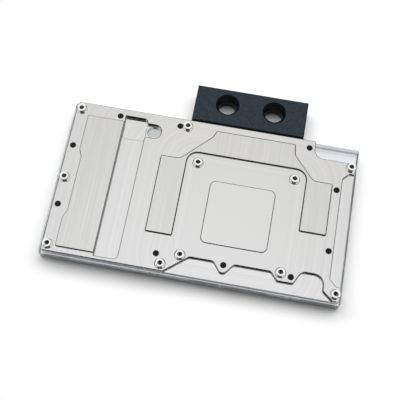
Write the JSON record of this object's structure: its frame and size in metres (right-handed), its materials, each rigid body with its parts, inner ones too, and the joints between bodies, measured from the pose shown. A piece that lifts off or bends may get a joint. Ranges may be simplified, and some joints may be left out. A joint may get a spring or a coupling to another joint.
{
  "type": "liquid cooling cold plate",
  "caption": "Flat liquid cooling cold plate for a graphics card: milled metal base with raised contact pads and threaded standoffs, clear channelled cover and a ported terminal block.",
  "frame": {"origin": "centre of the bounding box's bottom face, on the outer face of the clear cover", "axes": "+X along the plate's long side, +Y towards the terminal block, +Z out of the card side"},
  "size_m": [0.1766, 0.1222, 0.0166],
  "materials": {
    "nickel_plated_copper": "milled, then bright nickel plated",
    "clear_acrylic": "clear, polished faces",
    "black_acetal": "fine milled matte",
    "seal_rubber": "smooth black",
    "stainless_sheet": "rolled sheet",
    "black_oxide_steel": "black oxide, satin",
    "nickel_plated_brass": "turned, then nickel plated"
  },
  "bodies": {
    "root": {"base_plate": "nickel_plated_copper", "clear_cover": "clear_acrylic", "main_gasket": "seal_rubber", "jet_plate": "stainless_sheet", "terminal_block": "black_acetal", "left_port_seal": "seal_rubber", "right_port_seal": "seal_rubber", "cover_screw_1": "black_oxide_steel", "cover_screw_2": "black_oxide_steel", "cover_screw_3": "black_oxide_steel", "cover_screw_4": "black_oxide_steel", "cover_screw_5": "black_oxide_steel", "cover_screw_6": "black_oxide_steel", "cover_screw_7": "black_oxide_steel", "cover_screw_8": "black_oxide_steel", "cover_screw_9": "black_oxide_steel", "cover_screw_10": "black_oxide_steel", "terminal_screw_1": "black_oxide_steel", "terminal_screw_2": "black_oxide_steel", "terminal_screw_3": "black_oxide_steel", "terminal_screw_4": "black_oxide_steel", "standoff_1": "nickel_plated_brass", "standoff_2": "nickel_plated_brass", "standoff_3": "nickel_plated_brass", "standoff_4": "nickel_plated_brass", "standoff_5": "nickel_plated_brass", "standoff_6": "nickel_plated_brass", "standoff_7": "nickel_plated_brass", "standoff_8": "nickel_plated_brass", "standoff_9": "nickel_plated_brass", "standoff_10": "nickel_plated_brass", "standoff_11": "nickel_plated_brass"}
  },
  "joints": []
}
